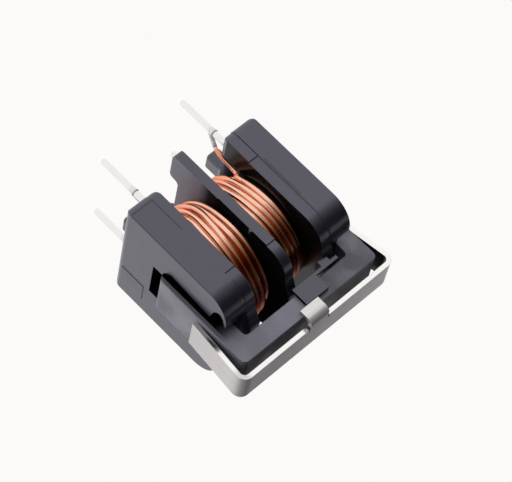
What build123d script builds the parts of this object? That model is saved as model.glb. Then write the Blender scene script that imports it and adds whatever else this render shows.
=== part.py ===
from build123d import *
import os

# Common mode choke: two windings on one moulded bobbin, round a ferrite ring made
# of two U shaped halves that a spring clip holds together. Millimetres, +Z up.
# The origin is the middle of the four pins on the board surface. Windings lie along
# X, the pins point to -Z and the clip is on the far side from the board.

# ---- driving dimensions -------------------------------------------------------
pin_pitch_x = 9.2        # between the two pin rows
pin_pitch_y = 8.5        # between the pins of one row
pin_d = 0.6              # tinned end
tin_t = 0.01             # tin on the free end of a pin
pin_below = 4.2          # pin length below the board surface
pin_in_bobbin = 2.6      # pressed into the bobbin rail
standoff = 1.4           # bobbin rails above the board, on the four feet

core_len = 15.75         # both halves together, along X
core_h = 10.5            # ring height, along Z
core_t = 4.75            # thickness, along Y
core_limb = 1.85         # width of every limb of the ring
core_corner = 0.5
core_joint = 0.02        # between the ground faces of the two halves
core_fit = 0.08          # core to bobbin, all round
core_z = standoff + 5.25  # lower face of the inner limb

block_w = 14.6           # over the outer faces of the end blocks
block_d = 12.4           # front to back
flange_gap = 1.3         # clip end of the blocks to the outer limb of the core
nose_gap = 0.35          # noses of the three flanges to the same limb
nose_w = 3.8             # flat top of a nose
nose_base = 7.8
block_r = 2.5            # big corner radius at the clip end
rail_r = 0.7             # soft edges at the rail
bar_w = 3.4              # end block width along X
flange_t = 1.1           # winding side skin of an end block
skin_step = 0.12         # winding side skin lies this much lower
wall_t = 0.72            # tube wall round the inner limb
mid_t = 0.94             # middle flange
mid_d = 11.9
mid_r = 2.4
mid_step = 0.15
mid_notch = 2.75         # half width of the cut between its two feet
foot_w = 2.0
slot_low = 0.95          # core to the edge of the outer slot, at its rail end
slot_high = 0.5          # the same beside the mouth
mouth_w = 2.25           # core to the widest place of the mouth
mouth_h = 1.8
window_w = 4.3           # smaller window below the core
window_h = 1.2
strip_left = 9.0         # length of the flush strip beside the left winding
strip_right = 2.6        # the same on the right
pad_w, pad_h = 2.2, 2.7  # low pad on the outer face
gate_z = 8.1             # gate mark above the rail
gate_r = 0.2

wire_d = 0.6
turns = 5                # in the outer layer
turn_gap = 0.13          # outer turns to the flanges
coil_r = 4.9             # wire centre beside the flanges
crown = 0.45             # fuller in the middle

clip_t = 0.45
clip_band = 3.3          # strip width
clip_gap = 0.6           # clip to core at the far wall
clip_spread = 1.02       # clip to core at the bend of an arm
clip_reach = 6.8         # arm length
clip_r = 0.9             # outer bend radius
tab_w = 2.1
tab_x = 0.05
tab_reach = 1.5
tab_lift = 0.03          # tab underside above the core face
relief = 0.16            # slit each side of the tab
tongue_w = 2.6           # bobbin tongue beside the tab

solder_r = 0.38
solder_tip = 0.6         # solder creeps this far below the board surface
pin_press = 0.0          # pin to rail: size for size

# ---- sizes that follow --------------------------------------------------------
half_w = block_w / 2
half_d = block_d / 2
bare_d = pin_d - 2 * tin_t               # pin wire above the tinned end
inner_x = half_w - bar_w                 # winding side face of an end block
skin_x = inner_x + flange_t
limb_mid_z = core_z + core_limb / 2      # axis of the tube and of the windings
core_top_z = core_z + core_h
top_z = core_top_z - core_limb - flange_gap
core_x = core_len / 2
core_y = core_t / 2
slot_y0 = 1.25                           # wire slot, nearer edge
slot_y1 = 3.7                            # wire slot, further edge
slot_h = 3.0


def box(x0, x1, y0, y1, z0, z1):
    """Box between two corners."""
    return Pos((x0 + x1) / 2, (y0 + y1) / 2, (z0 + z1) / 2) * Box(
        abs(x1 - x0), abs(y1 - y0), abs(z1 - z0))


def plate(outline, x0, x1):
    """Closed outline of (y, z) points extruded from x0 to x1."""
    face = make_face(Polyline([(x0, y, z) for y, z in outline], close=True))
    return extrude(face, amount=x1 - x0, dir=(1, 0, 0))


def rounded_plate(x0, x1, half, z0, z1, r):
    """Plate with big corners at the clip end."""
    body = box(x0, x1, -half, half, z0, z1)
    return fillet(body.edges().filter_by(Axis.X).group_by(Axis.Z)[-1], r)


def soft_rail(body, side):
    """Round the rail end of a plate, with its edge on one side; side is 0 or -1 along X."""
    low = body.edges().group_by(Axis.Z)[0]
    return fillet(low.filter_by(Axis.X) + low.filter_by(Axis.Y).sort_by(Axis.X)[side], rail_r)


def nose(x0, x1):
    """Raised middle of a flange, towards the outer limb of the core."""
    top = flange_gap - nose_gap
    half, foot_y = nose_w / 2, nose_base / 2
    rise = [(half, top), (half + (foot_y - half) / 4, top * 0.6), (foot_y * 0.87, top / 6), (foot_y, -0.4)]
    outline = [(-y, top_z + z) for y, z in reversed(rise)] + [(y, top_z + z) for y, z in rise]
    return plate(outline, x0, x1)


# ---- bobbin -------------------------------------------------------------------
def slot_outline(s):
    """Half of the outer slot: narrow beside the core, with a wide mouth at the clip end."""
    low, high = core_y + slot_low, core_y + slot_high
    wide = core_y + mouth_w
    z0, z1 = core_z - core_fit, top_z - mouth_h
    points = [(core_y, z0), (core_y + slot_low / 3, z0 + 0.1), (low, z0 + slot_low), (high, z1)]
    # (part of the way out, part of the way up) round the mouth
    for out, up in ((0.71, 0.17), (0.97, 0.39), (1, 0.56), (0.83, 0.75), (0.34, 0.94)):
        points.append((high + (wide - high) * out, z1 + mouth_h * up))
    points += [(high + 0.3, top_z + 0.2), (core_y, top_z + 0.2)]
    return [(s * y, z) for y, z in points]


def hood():
    """Outer part of the +X end block, hollow where the core passes."""
    body = soft_rail(rounded_plate(skin_x, half_w, half_d, standoff, top_z, block_r), -1)
    room = core_y + core_fit
    floor = core_x - core_limb - core_fit
    body -= box(floor, half_w + 1, -room, room, core_z - core_fit, top_z + 1)
    body -= box(floor, half_w + 1, -window_w / 2, window_w / 2, core_z - window_h, core_z)
    for s in (-1, 1):
        body -= plate(slot_outline(s), floor, half_w + 1)
    return body


def skin(strip):
    """Winding side of the +X end block: the end flange of the winding room."""
    body = soft_rail(rounded_plate(inner_x, skin_x, half_d - skin_step, standoff, top_z, block_r), 0)
    body += nose(inner_x, skin_x)
    # strip near the rail, level with the hood
    groove = 0.1 if strip < strip_left else 0
    for s in (-1, 1):
        y0, y1 = s * (half_d - 1), s * half_d
        z0 = standoff + rail_r
        body += box(inner_x + 0.02, skin_x - groove, y0, y1, z0, z0 + strip)
    return body


def foot():
    """Foot under the middle of an end block, between the two wire slots."""
    body = box(inner_x + 0.25, inner_x + 1.75, -foot_w / 2, foot_w / 2, 0, standoff + 1)
    body = fillet(body.edges().filter_by(Axis.Z), 0.4)
    return fillet(body.faces().sort_by(Axis.Z)[0].edges(), 0.2)


def end_block(strip):
    """Complete +X end block with foot, wire slots and pin holes."""
    body = hood() + skin(strip) + foot()
    for s in (-1, 1):
        body -= box(inner_x - 1, skin_x + 0.1, s * slot_y0, s * slot_y1,
                    standoff - 1, standoff + slot_h)
        body -= pin_hole(s)
    # low pad on the outer face
    y0, z0 = slot_y0 * 2, standoff + rail_r
    body += box(half_w - 0.5, half_w + 0.05, y0, y0 + pad_w, z0, z0 + pad_h)
    return body


def pin_hole(s):
    hole = Cylinder((bare_d + pin_press) / 2, 2 * pin_in_bobbin)
    return Pos(pin_pitch_x / 2, s * pin_pitch_y / 2, standoff) * hole


def middle_flange():
    """Flange between the windings, with a foot at the front and at the back."""
    half = mid_d / 2
    body = rounded_plate(-mid_t / 2, mid_t / 2, half, 0, top_z + 0.1, mid_r)
    low = body.edges().filter_by(Axis.X).group_by(Axis.Z)[0]
    body = fillet(low, 0.4)
    body -= box(-1, 1, -mid_notch, mid_notch, -1, standoff - 0.3)
    notch = body.edges().filter_by(Axis.X).filter_by(
        lambda e: abs(abs(e.center().Y) - mid_notch) < 0.01)
    body = fillet(notch, 0.5) + nose(-mid_t / 2, mid_t / 2)
    for s in (-1, 1):
        y0, y1 = s * (half - 0.5), s * (half + mid_step)
        body += box(-mid_t / 2, mid_t / 2, y0, y1, standoff + strip_right * 1.6, top_z - mid_r - 0.2)
    # gate mark beside the front edge
    mark = Cylinder(gate_r, 0.5, rotation=(90, 0, 0))
    return body + Pos(mid_t / 2 - 0.05, -half + 0.15, standoff + gate_z) * mark


def joint_lip():
    """Thin lip on the -X end block with a tongue over the joint of the core."""
    z0 = core_top_z - core_limb - 0.5
    y1 = -core_y - core_fit / 2
    lip = box(-skin_x, 0.2, y1 - 0.35, y1, z0, z0 + 0.36)
    lip += box(-inner_x - 0.4, -inner_x + 0.6, y1 - 0.35, y1 + 1.2, z0 - 0.6, z0 + 0.36)
    z1 = core_top_z + clip_gap + clip_t - tab_reach - 0.05
    tongue = box(0.2 - tongue_w, 0.2, y1 - 0.35, y1, z0, z1)
    tongue = fillet(tongue.edges().filter_by(Axis.Y).group_by(Axis.Z)[0], 0.25)
    return lip + tongue


def make_bobbin():
    blocks = end_block(strip_left) + mirror(end_block(strip_right), about=Plane.YZ)
    tube_y = core_y + core_fit + wall_t
    tube_z = core_limb / 2 + core_fit + wall_t
    tube = box(-skin_x, skin_x, -tube_y, tube_y, limb_mid_z - tube_z, limb_mid_z + tube_z)
    tube = fillet(tube.edges().filter_by(Axis.X), 0.9)
    body = blocks + tube + middle_flange()
    bore_y = core_y + core_fit
    bore_z = core_limb / 2 + core_fit
    body -= box(-half_w, half_w, -bore_y, bore_y, limb_mid_z - bore_z, limb_mid_z + bore_z)
    # room for the inner corner of each core half
    x0 = core_x - core_limb - core_fit
    for s in (-1, 1):
        body -= box(s * (x0 - 0.4), s * (x0 + 0.1), -bore_y, bore_y, limb_mid_z, limb_mid_z + bore_z + 0.4)
    return body + joint_lip()


# ---- core ---------------------------------------------------------------------
def make_core_half():
    """+X half of the ring: back limb and two legs that end at the joint."""
    body = box(core_joint / 2, core_x, -core_y, core_y, core_z, core_top_z)
    body = fillet(body.edges().filter_by(Axis.Y).group_by(Axis.X)[-1], core_corner)
    hole = box(-1, core_x - core_limb, -core_y - 1, core_y + 1,
               core_z + core_limb, core_top_z - core_limb)
    hole = fillet(hole.edges().filter_by(Axis.Y).group_by(Axis.X)[-1], 0.4)
    return body - hole


# ---- clip ---------------------------------------------------------------------
def make_clip():
    """Spring strip round three sides of the core, tab folded over its front face."""
    wall = core_top_z + clip_gap                 # inner face of the far wall
    bend = core_x + clip_spread - clip_t         # inner face at a bend
    tip = wall + clip_t - clip_reach             # free end of an arm
    o = clip_t
    outer = [(core_x + o, tip), (bend + o, wall + o), (-bend - o, wall + o), (-core_x - o, tip)]
    inner = [(-core_x, tip), (-bend, wall), (bend, wall), (core_x, tip)]
    face = make_face(Polyline([(x, 0, z) for x, z in outer + inner], close=True))
    strip = extrude(face, amount=clip_band / 2, dir=(0, 1, 0), both=True)
    corners = strip.edges().filter_by(Axis.Y)
    strip = fillet(corners.filter_by(lambda e: e.center().Z > wall + o / 2), clip_r)
    corners = strip.edges().filter_by(Axis.Y)
    strip = fillet(corners.filter_by(
        lambda e: abs(e.center().Z - wall) < 0.01 and abs(abs(e.center().X) - bend) < 0.01),
        clip_r - clip_t)
    return cut_reliefs(strip, wall) + make_tab(wall)


def cut_reliefs(strip, wall):
    front = -clip_band / 2
    for s in (-1, 1):
        x = tab_x + s * (tab_w + relief) / 2
        strip -= box(x - relief / 2, x + relief / 2, front - 1, front + 0.5, wall - 1, wall + 1)
    return strip


def make_tab(wall):
    """Folded tab: rises from the strip, bends and lies over the core."""
    low = -core_y - tab_lift
    high = low - clip_t
    front = -clip_band / 2
    x0, x1 = tab_x - tab_w / 2, tab_x + tab_w / 2
    leaf = box(x0, x1, high, front + 0.1, wall, wall + clip_t)
    leaf += box(x0, x1, high, low, wall + clip_t - tab_reach, wall + clip_t)
    edge = leaf.edges().filter_by(Axis.X)
    leaf = fillet(edge.filter_by(
        lambda e: abs(e.center().Y - high) < 0.01 and e.center().Z > wall + clip_t - 0.01), 0.6)
    edge = leaf.edges().filter_by(Axis.X)
    return fillet(edge.filter_by(
        lambda e: abs(e.center().Y - low) < 0.01 and abs(e.center().Z - wall) < 0.01), 0.15)


# ---- pins and solder ----------------------------------------------------------
def make_pin(sx, sy):
    upright = (Align.CENTER, Align.CENTER, Align.MIN)
    tinned = Cylinder(pin_d / 2, pin_below - solder_tip, align=upright)
    tinned = fillet(tinned.edges().group_by(Axis.Z)[0], pin_d * 0.45)
    bare = Cylinder(bare_d / 2, solder_tip + standoff + pin_in_bobbin, align=upright)
    pin = Pos(0, 0, -pin_below) * tinned + Pos(0, 0, -solder_tip) * bare
    return Pos(sx * pin_pitch_x / 2, sy * pin_pitch_y / 2, 0) * pin


def make_solder(sx, sy, lead):
    """Solder round the foot of a pin, run out to the end of the wire."""
    r = pin_d / 2
    outline = [(0, -solder_tip), (r + 0.02, -solder_tip), (solder_r, 0.1),
               (solder_r, 0.6), (r + 0.04, standoff), (0, standoff)]
    face = make_face(Polyline([(x, 0, z) for x, z in outline], close=True))
    cone = revolve(face, Axis.Z, 360)
    cone = Pos(sx * pin_pitch_x / 2, sy * pin_pitch_y / 2, 0) * cone
    p0, p1 = [Vector(*p) for p in lead_points(sx, sy)[:2]]
    along = (p1 - p0).normalized()
    stub = rod(p0 - along * 0.3, p1 - along * 0.1, wire_d / 2 + 0.05)
    return cone + stub - make_pin(sx, sy) - lead


# ---- windings -----------------------------------------------------------------
def rod(a, b, r):
    """Round bar of radius r between two points."""
    return extrude(Plane(origin=a, z_dir=b - a) * Circle(r), amount=(b - a).length)


def lead_points(sx, sy):
    """Centre line of a wire end: pin, slot in the rail, edge of the winding."""
    x, y = pin_pitch_x / 2, pin_pitch_y / 2
    edge = inner_x - wire_d / 2 - 0.05
    path = [(x - 0.12, y - 0.61, -0.1), (x - 0.22, y - 1.0, 0.35), (x - 0.6, y - 1.05, standoff),
            (x - 0.72, y - 1.05, standoff + 1.6), (edge, y - 0.7, standoff + 3.1)]
    return [(sx * px, sy * py, pz) for px, py, pz in path]


def make_lead(sx, sy):
    points = [Vector(*p) for p in lead_points(sx, sy)]
    lead = rod(points[0], points[1], wire_d / 2)
    for a, b in zip(points[1:], points[2:]):
        lead += Pos(*a) * Sphere(wire_d / 2) + rod(a, b, wire_d / 2)
    return lead


def turn_place(i):
    """Centre (x, radius) of one turn of the outer layer: the winding is fullest in the middle."""
    pitch = (inner_x - mid_t / 2 - wire_d - 2 * turn_gap) / (turns - 1)
    side = (i - (turns - 1) / 2) / (turns / 2)
    return (mid_t / 2 + inner_x) / 2 + (i - (turns - 1) / 2) * pitch, coil_r + crown * (1 - side ** 2)


def make_winding(sx, leads):
    """Winding on one side: ridged outer layer over the packed inner layers."""
    x0, x1 = mid_t / 2 + 0.05, inner_x - 0.05
    centres = [turn_place(i) for i in range(turns)]
    edge = [(x1, 1), (x1, coil_r)] + list(reversed(centres)) + [(x0, coil_r), (x0, 1)]
    drum = make_face(Polyline([(x, 0, z) for x, z in edge], close=True))
    for x, r in centres:
        drum += Plane.XZ * Pos(x, r) * Circle(wire_d / 2)
    body = Pos(0, 0, limb_mid_z) * revolve(drum, Axis.X, 360)
    room_y = core_y + core_fit + wall_t
    room_z = core_limb / 2 + core_fit + wall_t
    hole = box(0, inner_x + 1, -room_y, room_y, limb_mid_z - room_z, limb_mid_z + room_z)
    body -= fillet(hole.edges().filter_by(Axis.X), 0.9)
    if sx < 0:
        body = mirror(body, about=Plane.YZ)
    for lead in leads:
        body += lead
    return body


# ---- build --------------------------------------------------------------------
def only_solid(shape):
    solids = shape.solids()
    return max(solids, key=lambda s: s.volume)


os.makedirs("parts", exist_ok=True)
half = make_core_half()
parts = {
    "bobbin": make_bobbin(),
    "core_half_left": half,
    "core_half_right": mirror(half, about=Plane.YZ),
    "core_clip": make_clip(),
}
for side, sx in (("left", 1), ("right", -1)):
    leads = []
    for row, sy in (("front", -1), ("back", 1)):
        lead = make_lead(sx, sy)
        leads.append(lead)
        parts["pin_%s_%s" % (row, side)] = make_pin(sx, sy)
        parts["solder_%s_%s" % (row, side)] = make_solder(sx, sy, lead)
    parts["winding_" + side] = make_winding(sx, leads)
for name, shape in parts.items():
    export_step(only_solid(shape), "parts/%s.step" % name)
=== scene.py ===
import bpy
import bmesh
from math import sin, cos, pi, radians
from mathutils import Vector, Matrix, noise


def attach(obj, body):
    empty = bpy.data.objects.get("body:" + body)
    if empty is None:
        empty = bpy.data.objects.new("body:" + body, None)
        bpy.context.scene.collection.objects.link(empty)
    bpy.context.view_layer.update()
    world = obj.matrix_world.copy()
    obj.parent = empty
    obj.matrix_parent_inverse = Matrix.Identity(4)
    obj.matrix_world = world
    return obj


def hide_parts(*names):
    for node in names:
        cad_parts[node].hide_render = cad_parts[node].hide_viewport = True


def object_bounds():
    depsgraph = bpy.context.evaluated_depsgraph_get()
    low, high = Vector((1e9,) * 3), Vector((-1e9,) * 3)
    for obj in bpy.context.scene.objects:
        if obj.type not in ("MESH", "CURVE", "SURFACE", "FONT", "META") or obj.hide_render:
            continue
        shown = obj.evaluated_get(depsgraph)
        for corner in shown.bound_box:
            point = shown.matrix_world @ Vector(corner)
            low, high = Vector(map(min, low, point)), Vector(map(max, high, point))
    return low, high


# Looks of a common mode choke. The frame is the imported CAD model, in metres: pins down
# along -Z, windings along X, the face with the clip's folded tab towards -Y. Sizes and
# places below are in millimetres, and MM turns them into metres.

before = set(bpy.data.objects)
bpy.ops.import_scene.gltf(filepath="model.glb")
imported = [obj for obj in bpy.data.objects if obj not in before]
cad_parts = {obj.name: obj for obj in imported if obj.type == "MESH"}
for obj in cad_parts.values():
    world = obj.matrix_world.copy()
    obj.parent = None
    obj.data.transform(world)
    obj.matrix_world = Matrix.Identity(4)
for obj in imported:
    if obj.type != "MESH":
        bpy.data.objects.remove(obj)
cad_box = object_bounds()
MM = 0.001
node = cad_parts


def add_node(tree, kind, **values):
    """New node of a type, with its attributes set."""
    n = tree.nodes.new(kind)
    for key, value in values.items():
        setattr(n, key, value)
    return n


def fill_ramp(ramp, stops):
    """Sets the stops of a colour ramp node: (place, value or colour)."""
    ends = ramp.color_ramp.elements
    while len(ends) < len(stops):
        ends.new(0.5)
    for end, (place, value) in zip(ends, stops):
        end.position = place
        end.color = (*value, 1) if isinstance(value, tuple) else (value, value, value, 1)


# ---- materials ----------------------------------------------------------------
class Graph:
    """Node tree of one material, with short calls for the nodes used here."""

    def __init__(self, name):
        self.mat = bpy.data.materials.new(name)
        self.mat.use_nodes = True
        self.tree = self.mat.node_tree
        self.bsdf = self.tree.nodes["Principled BSDF"]

    def add(self, kind, **values):
        return add_node(self.tree, kind, **values)

    def link(self, a, b):
        self.tree.links.new(a, b)

    def set(self, **values):
        """Constants on the shader's own sockets; _ stands for a space in a socket's name."""
        for key, value in values.items():
            self.bsdf.inputs[key.replace("_", " ")].default_value = value

    def place(self, scale=(1, 1, 1)):
        """Object coordinates in millimetres, times scale."""
        at = self.add("ShaderNodeTexCoord")
        fit = self.add("ShaderNodeMapping")
        fit.inputs["Scale"].default_value = [s / MM for s in scale]
        self.link(at.outputs["Object"], fit.inputs["Vector"])
        return fit.outputs["Vector"]

    def noise(self, vector, scale, detail=3.0, rough=0.55):
        n = self.add("ShaderNodeTexNoise")
        n.inputs["Scale"].default_value = scale
        n.inputs["Detail"].default_value = detail
        n.inputs["Roughness"].default_value = rough
        self.link(vector, n.inputs["Vector"])
        return n.outputs["Fac"]

    def ramp(self, fac, stops):
        """Colour ramp; stops are (place, value or colour)."""
        n = self.add("ShaderNodeValToRGB")
        fill_ramp(n, stops)
        self.link(fac, n.inputs["Fac"])
        return n.outputs["Color"]

    def edge(self, radius):
        """Normal that rounds sharp edges by radius, in millimetres."""
        n = self.add("ShaderNodeBevel", samples=6)
        n.inputs["Radius"].default_value = radius * MM
        return n.outputs["Normal"]

    def bump(self, height, strength, distance, below=None):
        """Bump on top of the normal below; it becomes the shader's normal."""
        n = self.add("ShaderNodeBump")
        n.inputs["Strength"].default_value = strength
        n.inputs["Distance"].default_value = distance
        self.link(height, n.inputs["Height"])
        if below is not None:
            self.link(below, n.inputs["Normal"])
        self.link(n.outputs["Normal"], self.bsdf.inputs["Normal"])
        return n.outputs["Normal"]

    def math(self, operation, *values):
        """Result of a math node; each value is a number or a socket."""
        n = self.add("ShaderNodeMath", operation=operation)
        for slot, value in zip(n.inputs, values):
            if isinstance(value, (int, float)):
                slot.default_value = value
            else:
                self.link(value, slot)
        return n.outputs[0]

    def axes(self, kind="Object"):
        """X, Y and Z of the place in millimetres, or of the surface's normal."""
        split = self.add("ShaderNodeSeparateXYZ")
        source = self.place() if kind == "Object" else self.add("ShaderNodeTexCoord").outputs[kind]
        self.link(source, split.inputs[0])
        return [split.outputs[k] for k in "XYZ"]

    def fade(self, value, start, end):
        """0 at start, 1 at end, even between."""
        n = self.add("ShaderNodeMapRange")
        n.inputs["From Min"].default_value, n.inputs["From Max"].default_value = start, end
        self.link(value, n.inputs["Value"])
        return n.outputs["Result"]

    def inside(self, *spans):
        """1 within the spans (low, high) of x, y and z in millimetres, 0 outside; None leaves an axis free."""
        result = 1.0
        for value, span in zip(self.axes(), spans):
            if span:
                hit = self.math("COMPARE", value, (span[0] + span[1]) / 2, (span[1] - span[0]) / 2)
                result = self.math("MULTIPLY", hit, result)
        return result

    def blend(self, fac, a, b, kind="MIX"):
        """Colour from a to b by fac; each is a number, a colour or a socket."""
        n = self.add("ShaderNodeMix", data_type="RGBA")
        n.blend_type = kind
        for slot, value in ((0, fac), (6, a), (7, b)):
            if isinstance(value, (int, float)):
                n.inputs[slot].default_value = value
            elif isinstance(value, tuple):
                n.inputs[slot].default_value = (*value, 1)
            else:
                self.link(value, n.inputs[slot])
        return n.outputs[2]


FRONT = (-6.3, -6.1)          # y of the end blocks' front faces
OUTER = (7.0, 9.0)            # x of the left block's outer face, dimmed as painted shade
SEAMS = [((5.0, 7.2), FRONT, (2.11, 2.19)),            # parting lines: spans of x, y and z
         ((4.86, 4.94), FRONT, (2.1, 5.8)),
         ((7.25, 7.35), FRONT, (2.2, 11.9)),
         ((4.86, 4.94), (-6.3, -1.8), (11.9, 14.5)),
         ((-5.19, -5.11), FRONT, (5.3, 9.7))]
SEAM_DEPTH, OUTER_SHADE_DEPTH = 0.6, 0.17                    # share of the gloss that is taken away: dark joints on the parting lines, painted shade on the outer face


def bobbin_plastic():
    """Glossy black moulding; parting lines lose gloss by a dark metallic share, and the outer face by a smaller
    one as painted shade.
    """
    g = Graph("bobbin_plastic")
    at = g.place()
    g.link(g.ramp(g.noise(at, 0.35), [(0.3, (0.011, 0.012, 0.020)), (0.7, (0.016, 0.017, 0.027))]),
           g.bsdf.inputs["Base Color"])
    g.set(IOR=2.05, Specular_Tint=(0.85, 0.84, 1, 1))
    g.link(g.ramp(g.noise(at, 0.8, 4), [(0.35, 0.20), (0.7, 0.28)]), g.bsdf.inputs["Roughness"])
    fine = g.bump(g.noise(at, 22, 2), 0.12, 0.01 * MM, g.edge(0.09))
    g.bump(g.noise(at, 1.1, 2), 0.25, 0.03 * MM, fine)
    # painted shade: the outer face of the left block gives back less light
    dark = g.math("MULTIPLY", g.fade(g.axes("Normal")[0], 0.8, 0.95), OUTER_SHADE_DEPTH)
    dark = g.math("MULTIPLY", dark, g.inside(OUTER, None, None))
    for seam in SEAMS:
        dark = g.math("MAXIMUM", dark, g.math("MULTIPLY", g.inside(*seam), SEAM_DEPTH))
    g.link(dark, g.bsdf.inputs["Metallic"])
    return g.mat


def painted_flange_plastic():
    """The same plastic on the middle flange inside the winding rooms, matt, with painted light and shade: lighter
    near the pins, black higher up.
    """
    g = Graph("painted_flange_plastic")
    # painted light near the pins that fades to painted shade higher up
    tone_and_painted_light = g.ramp(g.fade(g.axes()[2], 2.0, 6.5), [(0.0, (0.30, 0.30, 0.35)), (0.3, (0.25, 0.24, 0.28)),
                                                 (0.55, (0.03, 0.022, 0.025)), (0.8, (0.007, 0.006, 0.007))])
    g.link(tone_and_painted_light, g.bsdf.inputs["Base Color"])
    g.set(Roughness=0.6, Specular_IOR_Level=0.0)
    return g.mat


def painted_shade_black():
    """Painted shade: near black for the walls of openings and the clip's inner side, where no light gets in."""
    g = Graph("painted_shade_black")
    g.link(g.ramp(g.noise(g.place(), 1.5), [(0.3, 0.004), (0.7, 0.008)]), g.bsdf.inputs["Base Color"])
    g.set(Roughness=0.2, Specular_IOR_Level=0.14)
    return g.mat


SLOT = ((5.8, 7.5), (-2.5, -2.2), (4.0, 15.0))         # the left core half's face inside the block's slot, painted black as shade
SLOT_FADE = (14.8, 13.0)                               # span of height over which that painted shade turns black


def ferrite(name, low, high, patch, shade, end, paint_slot_shadow=False):
    """Sintered ferrite from low to high, in worn patches of size patch.

    shade gives (place along x, factor), painted light and shade along the core; end is the colour
    of the faces towards the clip, painted light for that side; and the last flag paints the face
    inside the slot black as painted shade.
    """
    g = Graph(name)
    at = g.place()
    fine = g.ramp(g.noise(at, 5, 5), [(0.3, 0.9), (0.7, 1.0)])
    worn = g.ramp(g.noise(at, patch, 2, 0.4), [(0.42, low), (0.62, high)])
    x, _, z = g.axes()
    # painted light and shade: the colour is scaled along x by shade
    tone_and_painted_light = g.blend(1.0, g.blend(1.0, worn, fine, "MULTIPLY"), g.ramp(g.fade(x, -9, 9), shade), "MULTIPLY")
    # painted light: the faces towards the clip take the colour end
    tone_and_painted_light = g.blend(g.fade(g.axes("Normal")[2], 0.6, 0.9), tone_and_painted_light, end)
    if paint_slot_shadow:
        # painted shade: the face in the slot turns black, and metallic so its gloss goes too
        dark = g.math("MULTIPLY", g.inside(*SLOT), g.fade(z, *SLOT_FADE))
        tone_and_painted_light = g.blend(dark, tone_and_painted_light, (0.004, 0.004, 0.005))
        g.link(dark, g.bsdf.inputs["Metallic"])
    g.link(tone_and_painted_light, g.bsdf.inputs["Base Color"])
    g.link(g.ramp(g.noise(at, patch, 3, 0.5), [(0.4, 0.52), (0.65, 0.33)]), g.bsdf.inputs["Roughness"])
    g.set(IOR=2.2, Specular_Tint=(0.86, 0.85, 1, 1))
    g.bump(g.noise(at, 14, 4, 0.7), 0.3, 0.02 * MM, g.edge(0.12))
    return g.mat


TAB_X, TAB_Y = (-1.2, 1.3), -3.6         # round the clip's tab: span of x, and the front end in y


def spring_steel():
    """Rolled strip: brushed along its length and brighter on the sheared edges, with painted light along its
    length and at the bends, which are less metallic so that they show lighter.
    """
    g = Graph("spring_steel")
    x, _, z = g.axes()
    # painted light: the bends are made less metallic so that they show lighter
    corner = g.math("MULTIPLY", g.fade(x, 7.7, 8.2), g.fade(z, 16.6, 17.3))
    fold = g.math("MULTIPLY", g.inside(TAB_X, (TAB_Y, -1.9), (17.0, 19.0)), g.fade(z, 17.3, 17.8))
    bend = g.math("MULTIPLY", g.math("MAXIMUM", corner, fold), 0.75)
    g.link(g.math("SUBTRACT", 1.0, bend), g.bsdf.inputs["Metallic"])

    strip = g.ramp(g.noise(g.place((0.2, 7, 0.2)), 1.5, 4),
                   [(0.3, (0.58, 0.562, 0.572)), (0.7, (0.68, 0.662, 0.668))])
    # painted light: darker towards the +X bend and brighter towards the -X end, multiplied into the colour
    along = g.ramp(g.fade(x, 9.0, -9.0), [(0.0, 1.0), (0.06, (0.80, 0.78, 0.80)), (0.3, (0.80, 0.78, 0.80)),
                                         (0.5, (0.92, 0.89, 0.91)), (0.95, (1.36, 1.33, 1.34))])
    tab = g.inside(TAB_X, (TAB_Y, -2.42), (15.0, 19.0))
    edges = g.blend(tab, (0.95, 0.94, 0.94), (0.74, 0.72, 0.72))
    sheared = g.ramp(g.math("ABSOLUTE", g.axes("Normal")[1]), [(0.6, 0.0), (0.9, 1.0)])
    g.link(g.blend(sheared, g.blend(1.0, strip, along, "MULTIPLY"), edges), g.bsdf.inputs["Base Color"])
    rough = g.ramp(g.noise(g.place((0.3, 3, 0.3)), 2.5, 3), [(0.3, 0.28), (0.7, 0.40)])
    g.link(g.blend(sheared, rough, (0.15, 0.15, 0.15)), g.bsdf.inputs["Roughness"])
    g.bump(g.noise(g.place(), 9, 3), 0.15, 0.01 * MM, g.edge(0.05))
    return g.mat


COPPER_Z = (2.0, 14.0)        # span of height over which the copper's painted highlights and shade run
# painted light on the turns by height: a pale painted highlight where they face the front, a dark band of painted
# shade, a painted orange highlight near the clip side
COPPER_PAINTED_LIGHT = [(0.0, (0.80, 0.30, 0.17)), (0.17, (1.0, 0.53, 0.38)), (0.35, (1.0, 0.62, 0.47)),
               (0.53, (1.0, 0.60, 0.44)), (0.65, (1.0, 0.42, 0.20)), (0.76, (0.80, 0.20, 0.07)),
               (0.84, (1.0, 0.46, 0.22)), (0.93, (0.80, 0.34, 0.26))]
DIP_Z = (0.9, 0.7)            # where the wire ends turn from lacquer to tin


def enamelled_copper():
    """Glossy lacquer over copper, with painted highlight and shade: palest where the turns face the front, darker
    and redder towards the core.
    """
    g = Graph("enamelled_copper")
    g.set(Metallic=1.0, Roughness=0.24, Coat_Weight=0.5, Coat_Roughness=0.1, Specular_Tint=(1.0, 0.50, 0.32, 1))
    z = g.axes()[2]
    patches = g.ramp(g.noise(g.place((0.3, 1, 1)), 1.4, 4), [(0.3, (0.98, 0.89, 0.86)), (0.6, (1, 1, 1))])
    # painted highlight and shade by height, with uneven lacquer patches
    tone_and_painted_light = g.blend(1.0, g.ramp(g.fade(z, *COPPER_Z), COPPER_PAINTED_LIGHT), patches, "MULTIPLY")
    g.link(g.blend(g.fade(z, *DIP_Z), tone_and_painted_light, (1, 0.99, 0.98)), g.bsdf.inputs["Base Color"])
    g.bump(g.noise(g.place(), 6, 3), 0.15, 0.02 * MM)
    return g.mat


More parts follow.
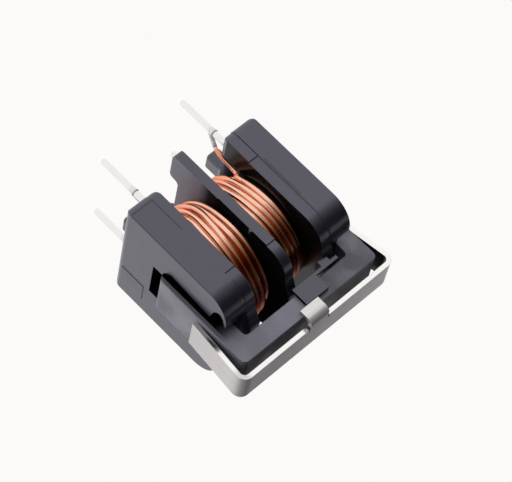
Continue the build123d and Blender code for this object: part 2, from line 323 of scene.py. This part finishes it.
def tin(name, value, rough, metal):
    """Bright tin, a little uneven where it has run."""
    g = Graph(name)
    g.set(Metallic=metal)
    run = g.place((1, 1, 0.4))
    g.link(g.ramp(g.noise(run, 2.5, 3), [(0.3, value * 0.96), (0.7, value)]), g.bsdf.inputs["Base Color"])
    g.link(g.ramp(g.noise(g.place(), 4), [(0.3, rough), (0.7, rough + 0.12)]), g.bsdf.inputs["Roughness"])
    g.bump(g.noise(run, 3, 2), 0.1, 0.02 * MM)
    return g.mat


# ---- shape helpers ------------------------------------------------------------
def paint(obj, material):
    obj.data.materials.clear()
    obj.data.materials.append(material)


def shade_bobbin(obj, flange_painted_shade, shade_paint):
    """Gives the middle flange painted light and shade, and the faces in the openings painted black shade, as
    materials of their own.
    """
    obj.data.materials.append(flange_painted_shade)
    obj.data.materials.append(shade_paint)
    for face in obj.data.polygons:
        x, y, z = (abs(v) / MM for v in face.center)
        flat = abs(face.normal.x) > 0.99
        flange = flat and x < 0.6
        room_wall = flat and 3.85 < x < 4.0
        window = 5.6 < x < 7.7 and y < 2.5 and z > 4.0 and (not flat or x < 7.2)
        slot_wall = 5.6 < x < 8.6 and 2.4 < y < 3.4 and z > 5.0 and face.normal.y * face.center.y < 0
        # painted light and shade on the middle flange, painted black shade on the walls in the openings
        if flange:
            face.material_index = 1
        elif room_wall or window or slot_wall:
            face.material_index = 2


def new_piece(name, mesh, material, slot, *stands_for):
    """Object for a finished bmesh, in metres, riding on the one body."""
    data = bpy.data.meshes.new(name)
    mesh.to_mesh(data)
    mesh.free()
    obj = bpy.data.objects.new(name, data)
    bpy.context.collection.objects.link(obj)
    data.materials.append(material)
    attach(obj, "root")
    if stands_for:
        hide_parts(*stands_for)
    return obj


def hermite(keys, t):
    """Smooth value at t through keys (place, value...), flat beyond the ends."""
    if t <= keys[0][0]:
        return keys[0][1:]
    if t >= keys[-1][0]:
        return keys[-1][1:]
    i = max(k for k in range(len(keys) - 1) if keys[k][0] <= t)

    def slope(k, c):
        a, b = keys[max(k - 1, 0)], keys[min(k + 1, len(keys) - 1)]
        return (b[c] - a[c]) / (b[0] - a[0])

    span = keys[i + 1][0] - keys[i][0]
    f = (t - keys[i][0]) / span
    h = (2 * f ** 3 - 3 * f ** 2 + 1, f ** 3 - 2 * f ** 2 + f, 3 * f ** 2 - 2 * f ** 3, f ** 3 - f ** 2)
    return [h[0] * keys[i][c] + h[1] * span * slope(i, c) + h[2] * keys[i + 1][c]
            + h[3] * span * slope(i + 1, c) for c in range(1, len(keys[0]))]


def add_tube(mesh, points, radius, sides=12):
    """Round tube along points; radius may be one number or one for each point."""
    rings, across = [], None
    count = len(points)
    for i, p in enumerate(points):
        along = (points[min(i + 1, count - 1)] - points[max(i - 1, 0)]).normalized()
        if across is None:
            across = along.orthogonal().normalized()
        across = (across - along * across.dot(along)).normalized()
        other = along.cross(across)
        r = radius[i] if isinstance(radius, list) else radius
        rings.append([mesh.verts.new(p + (across * cos(2 * pi * k / sides) + other * sin(2 * pi * k / sides)) * r)
                      for k in range(sides)])
    for a, b in zip(rings, rings[1:]):
        for k in range(sides):
            mesh.faces.new((a[k], a[(k + 1) % sides], b[(k + 1) % sides], b[k])).smooth = True
    mesh.faces.new(list(reversed(rings[0])))
    mesh.faces.new(rings[-1])


def fine_path(points, step):
    """Points along a smooth curve through the given ones, about step apart."""
    keys, at = [], 0.0
    for i, p in enumerate(points):
        at += (p - points[i - 1]).length if i else 0
        keys.append((at, p.x, p.y, p.z))
    count = max(2, int(at / step))
    return [Vector(hermite(keys, at * i / count)) for i in range(count + 1)]


SPRUNG = 0.36                 # how far the clip's -X arm stands out at its bend
SPRUNG_Z = (11.4, 16.4)       # span of height over which it moves out


def build_clip(cad, steel, shade_paint):
    """The clip with its -X arm sprung a little further out, and painted black shade on its side towards the core.
    """
    mesh = bmesh.new()
    mesh.from_mesh(cad.data)
    for v in mesh.verts:
        if v.co.x < -7 * MM:
            rise = min(1.0, max(0.0, (v.co.z / MM - SPRUNG_Z[0]) / (SPRUNG_Z[1] - SPRUNG_Z[0])))
            v.co.x -= SPRUNG * MM * rise
    for face in mesh.faces:
        # painted shade: the faces towards the core take the black material
        at, out = face.calc_center_median(), face.normal
        inward = at.x * out.x < 0 if abs(out.x) > 0.5 else out.z < 0
        face.material_index = 1 if inward and abs(out.y) < 0.3 else 0
    obj = new_piece("clip", mesh, steel, "clip", "core_clip")
    obj.data.materials.append(shade_paint)


# ---- windings -----------------------------------------------------------------
noise.seed_set(1)             # without it the shake of the turns differs from run to run
AXIS_Z = 7.575                # height of the windings' axis
WIRE = 0.6                    # diameter of the wire
LAYER = 0.52                  # step from one layer of turns to the next
ROOM = (0.47, 3.9)            # middle flange to end flange
OUTER_R, CROWN = 4.86, 0.5    # wire centres of the outer layer: radius, and what the middle adds
CROWN_AT, CROWN_HALF = 2.2, 1.75
SAG = 0.16                    # how much closer the front and clip sides lie than the pin side


def winding_radius(side, x, angle):
    """Wire centre of the outer layer: fullest in the middle, and loose at the clip side."""
    full = OUTER_R + CROWN * (1 - ((x - CROWN_AT) / CROWN_HALF) ** 2)
    clip_side = max(0.0, -cos(radians(angle)))
    loose = 0.14 * x + 0.25 if side > 0 else 0.1
    return full + clip_side ** 6 * loose - SAG * min(1.0, 1 - cos(radians(angle)))


def on_winding(side, x, angle, lift=0.0):
    """Point of a turn; angle 0 is the pin side, 90 the front, 180 the clip side."""
    r = winding_radius(side, x, angle) + lift
    a = radians(angle)
    return Vector((side * x, -r * sin(a), AXIS_Z - r * cos(a))) * MM


def outer_keys(turns):
    """Keys (angle, x, lift) of the outer layer; each turn gives x at four angles."""
    keys = []
    for k, (pin, front, low, clip, sink) in enumerate(turns):
        start = 360 * k
        keys += [(start + 50, pin, -sink), (start + 80, front, -sink / 3), (start + 110, low, 0),
                 (start + 145, clip, 0), (start + 215, clip - 0.05, 0), (start + 300, clip - 0.25, 0)]
    return keys


INNER_TURNS = 6
STEP = 3.6                    # degrees between the points of a turn
SHAKE = 0.025                 # how unevenly the turns lie
THIN = 0.62                   # share of the wire's thickness that is left at its tinned ends
LEAD_STEP = 0.15              # distance between the points of a lead
LEAD_CUT = 8                  # points left out of a lead where it has joined the turns


def add_winding(mesh, side, turns, lead_in, lead_out):
    """One wire: in from the front slot, outer layer, back through the inner layer, out behind."""
    keys = outer_keys(turns)
    last = keys[-1][0]
    pitch = (ROOM[1] - ROOM[0] - WIRE) / (INNER_TURNS - 1)
    inner = [(last + 120 + 360 * k, ROOM[0] + WIRE / 2 + pitch * k, -LAYER) for k in range(INNER_TURNS)]
    keys += inner
    stop = inner[-1][0] + 160
    keys.append((stop, ROOM[1] - WIRE / 2, -LAYER * 0.5))
    route = []
    angle = keys[0][0]
    while angle < stop:
        x, lift = hermite(keys, angle)
        shake = noise.noise_vector(Vector((angle / 37, side * 3.1, 0.4))) * SHAKE
        route.append(on_winding(side, x + shake.x, angle, lift + shake.y))
        angle += STEP
    start = fine_path([Vector(p) * MM for p in lead_in] + route[:3], LEAD_STEP * MM)[:-LEAD_CUT]
    end = fine_path(route[-3:] + [Vector(p) * MM for p in lead_out], LEAD_STEP * MM)[LEAD_CUT:]
    path = start + route[3:-3] + end
    thin_until, thick_after = 0.7 * len(start), 0.3 * len(start)
    radii = []
    for i in range(len(path)):
        from_end = min(i, len(path) - 1 - i)
        share = THIN + (1 - THIN) * max(0, from_end - thin_until) / thick_after
        radii.append(WIRE / 2 * MM * min(1.0, share))
    add_tube(mesh, path, radii)


DRUM = [(ROOM[0] + 0.02, 3.9), (ROOM[0] + 0.02, 4.3), (1.3, 4.45), (3.0, 4.45),
        (ROOM[1] - 0.02, 4.3), (ROOM[1] - 0.02, 3.9)]           # closed section: (x, radius)
DRUM_SIDES = 72


def add_drum(mesh, side):
    """Ring of packed inner turns under the two layers."""
    turns = [2 * pi * k / DRUM_SIDES for k in range(DRUM_SIDES)]
    rings = [[mesh.verts.new(Vector((side * x, r * sin(a), AXIS_Z + r * cos(a))) * MM) for a in turns]
             for x, r in DRUM]
    for a, b in zip(rings, rings[1:] + rings[:1]):
        for k in range(DRUM_SIDES):
            after = (k + 1) % DRUM_SIDES
            corners = (a[k], a[after], b[after], b[k])
            mesh.faces.new(corners if side < 0 else tuple(reversed(corners))).smooth = True


# Outer turns: x at the pin side, the front, below it and at the clip side; how far one sinks.
LEFT_TURNS = [(2.88, 3.32, 3.45, 3.35, 0.0), (2.5, 2.8, 2.98, 2.95, 0.0), (1.8, 2.2, 2.45, 2.4, 0.0),
              (1.38, 1.62, 1.62, 1.7, 0.16), (0.95, 0.95, 0.88, 0.85, 0.0)]
RIGHT_TURNS = [(3.08, 3.08, 3.25, 3.35, 0.0), (2.42, 2.5, 2.75, 3.0, 0.0), (1.82, 1.87, 2.13, 2.4, 0.0),
               (1.28, 1.38, 1.6, 1.85, 0.0), (0.84, 0.92, 1.12, 1.35, 0.05)]

# Wire end of the left back pin, from its solder to the turns.
LEAD = [(4.48, 3.64, -0.1), (4.38, 3.3, 0.3), (4.2, 3.2, 0.75), (4.02, 3.2, 1.3), (3.92, 3.2, 2.2),
        (3.88, 3.2, 3.2), (3.72, 3.4, 4.0)]


def lead_route(side, row):
    """Wire end from a pin's solder through the rail's slot; row is -1 in front and 1 behind."""
    return [(side * x, row * y, z) for x, y, z in LEAD]


def build_windings(material):
    for name, side, turns in (("left", 1, LEFT_TURNS), ("right", -1, RIGHT_TURNS)):
        mesh = bmesh.new()
        add_winding(mesh, side, turns, lead_route(side, -1), list(reversed(lead_route(side, 1))))
        add_drum(mesh, side)
        new_piece("wire_" + name, mesh, material, "copper", "winding_" + name)


PIN_X, PIN_Y = 4.6, 4.25      # pin axes
SLEEVE = [(-0.5, 0.301), (-0.35, 0.31), (-0.15, 0.335), (0.05, 0.37)]      # (z, radius)
SPUR = [(PIN_X - 0.02, PIN_Y - 0.1, -0.62), (PIN_X - 0.08, PIN_Y - 0.42, -0.3)] + LEAD[:3]
SPUR_R = [0.16, 0.2, 0.215, 0.21, 0.195]


def build_joints(material):
    """Solder along each pin and up the first of the wire that leaves it."""
    sleeve, sleeve_r = [(PIN_X, PIN_Y, z) for z, _ in SLEEVE], [r for _, r in SLEEVE]
    for name, side in (("left", 1), ("right", -1)):
        for end, row in (("front", -1), ("back", 1)):
            mesh = bmesh.new()
            for path, radii in ((sleeve, sleeve_r), (SPUR, SPUR_R)):
                points = [Vector((side * x, row * y, z)) * MM for x, y, z in path]
                add_tube(mesh, points, [r * MM for r in radii], 16)
            new_piece("joint_%s_%s" % (end, name), mesh, material, "solder", "solder_%s_%s" % (end, name))


# ---- pieces -------------------------------------------------------------------
plastic, steel = bobbin_plastic(), spring_steel()
# left half: painted light near the middle, painted shade at its outer end; right half: painted shade near the
# middle, painted light on its faces towards the clip
dark_left = ferrite("ferrite_left", (0.110, 0.107, 0.133), (0.160, 0.156, 0.188), 0.25,
                    [(0.62, 2.0), (0.78, 1.4), (0.95, 0.85)], (0.12, 0.118, 0.13), True)
dark_right = ferrite("ferrite_right", (0.018, 0.020, 0.019), (0.085, 0.083, 0.095), 0.45,
                     [(0.1, 1.2), (0.22, 0.9), (0.36, 0.2)], (0.40, 0.39, 0.39))
# materials that paint light and shade on the middle flange, and black shade in the openings
flange_painted_shade, shade_paint = painted_flange_plastic(), painted_shade_black()
copper = enamelled_copper()
bright, dull = tin("tinned_wire", 0.89, 0.12, 1.0), tin("solder", 0.97, 0.35, 0.3)
paint(node["bobbin"], plastic)
shade_bobbin(node["bobbin"], flange_painted_shade, shade_paint)
paint(node["core_half_left"], dark_left)
paint(node["core_half_right"], dark_right)
build_clip(node["core_clip"], steel, shade_paint)
for name in node:
    if name.startswith("pin"):
        paint(node[name], bright)
build_windings(copper)
build_joints(dull)


# ---- stage --------------------------------------------------------------------
PALE = (0.974, 0.956, 0.939, 1)
FLOOR_GLOW, FLOOR_SHARE = 1.155, 0.85            # strength of the floor's glow, and its share


def floor_paint():
    """Pale floor that is as bright as the backdrop and keeps a soft shadow."""
    mat = bpy.data.materials.new("floor")
    mat.use_nodes = True
    tree = mat.node_tree
    tree.nodes.clear()
    link = tree.links.new
    glow, matt = add_node(tree, "ShaderNodeEmission"), add_node(tree, "ShaderNodeBsdfDiffuse")
    glow.inputs["Color"].default_value = PALE
    glow.inputs["Strength"].default_value = FLOOR_GLOW
    matt.inputs["Color"].default_value = (0.9, 0.89, 0.88, 1)
    mix, out = add_node(tree, "ShaderNodeMixShader"), add_node(tree, "ShaderNodeOutputMaterial")
    mix.inputs[0].default_value = FLOOR_SHARE
    link(matt.outputs[0], mix.inputs[1])
    link(glow.outputs[0], mix.inputs[2])
    link(mix.outputs[0], out.inputs["Surface"])
    return mat


SKY_FADE = [(0.0, 0.8), (0.04, 0.62), (0.19, 0.44), (0.34, 0.3), (0.485, 0.18), (0.61, 0.1), (0.72, 0.05),
            (1.0, 0.03)]          # (sine of the height above the horizon, brightness)


def backdrop():
    """World: white to the camera; round the part even light that fades upwards."""
    world = bpy.context.scene.world or bpy.data.worlds.new("studio")
    bpy.context.scene.world = world
    world.use_nodes = True
    tree = world.node_tree
    tree.nodes.clear()
    link = tree.links.new
    at, split, ramp, around, seen, path, mix, out = [add_node(tree, "ShaderNode" + kind) for kind in (
        "TexCoord", "SeparateXYZ", "ValToRGB", "Background", "Background", "LightPath", "MixShader",
        "OutputWorld")]
    link(at.outputs["Generated"], split.inputs[0])
    link(split.outputs["Z"], ramp.inputs["Fac"])
    fill_ramp(ramp, SKY_FADE)
    link(ramp.outputs["Color"], around.inputs["Color"])
    seen.inputs["Color"].default_value = PALE
    link(path.outputs["Is Camera Ray"], mix.inputs[0])
    link(around.outputs[0], mix.inputs[1])
    link(seen.outputs[0], mix.inputs[2])
    link(mix.outputs[0], out.inputs["Surface"])


bpy.ops.mesh.primitive_plane_add(size=3, location=(0, 0, cad_box[0].z))
floor = bpy.context.object
floor.name = "floor"
floor.data.materials.append(floor_paint())


def softbox(name, place, aim, size, power, shape=1.0):
    """Rectangular area lamp at place, turned to aim; shape is its height as a share of its size."""
    data = bpy.data.lights.new(name, "AREA")
    data.shape = "RECTANGLE"
    data.size = size * MM
    data.size_y = size * shape * MM
    data.energy = power
    lamp = bpy.data.objects.new(name, data)
    bpy.context.collection.objects.link(lamp)
    lamp.location = Vector(place) * MM
    lamp.rotation_euler = (Vector(aim) * MM - lamp.location).to_track_quat("-Z", "Y").to_euler()


softbox("top", (-112, 24, 240), (0, 0, 6), 90, 0.006, 0.5)
backdrop()


# ---- camera -------------------------------------------------------------------
CAMERA_AT = (87.663, -185.380, 67.922)
CAMERA_TURN = (25.83, 16.07, 134.18)             # azimuth, elevation and roll, in degrees
LENS = 175.78


def aim_camera():
    """Long lens, a little above the clip's face, rolled as the part lies in the photograph."""
    azimuth, elevation, roll = (radians(a) for a in CAMERA_TURN)
    back = Vector((sin(azimuth) * cos(elevation), -cos(azimuth) * cos(elevation), sin(elevation)))
    side = Vector((cos(azimuth), sin(azimuth), 0))
    up = back.cross(side)
    data = bpy.data.cameras.new("camera")
    data.sensor_width = 36
    data.lens = LENS
    data.clip_start, data.clip_end = 0.01, 10
    camera = bpy.data.objects.new("camera", data)
    bpy.context.collection.objects.link(camera)
    x = side * cos(roll) + up * sin(roll)
    y = back.cross(x)
    turn = Matrix((x, y, back)).transposed().to_4x4()
    camera.matrix_world = Matrix.Translation(Vector(CAMERA_AT) * MM) @ turn
    bpy.context.scene.camera = camera


aim_camera()
bpy.context.scene.view_settings.view_transform = "Standard"
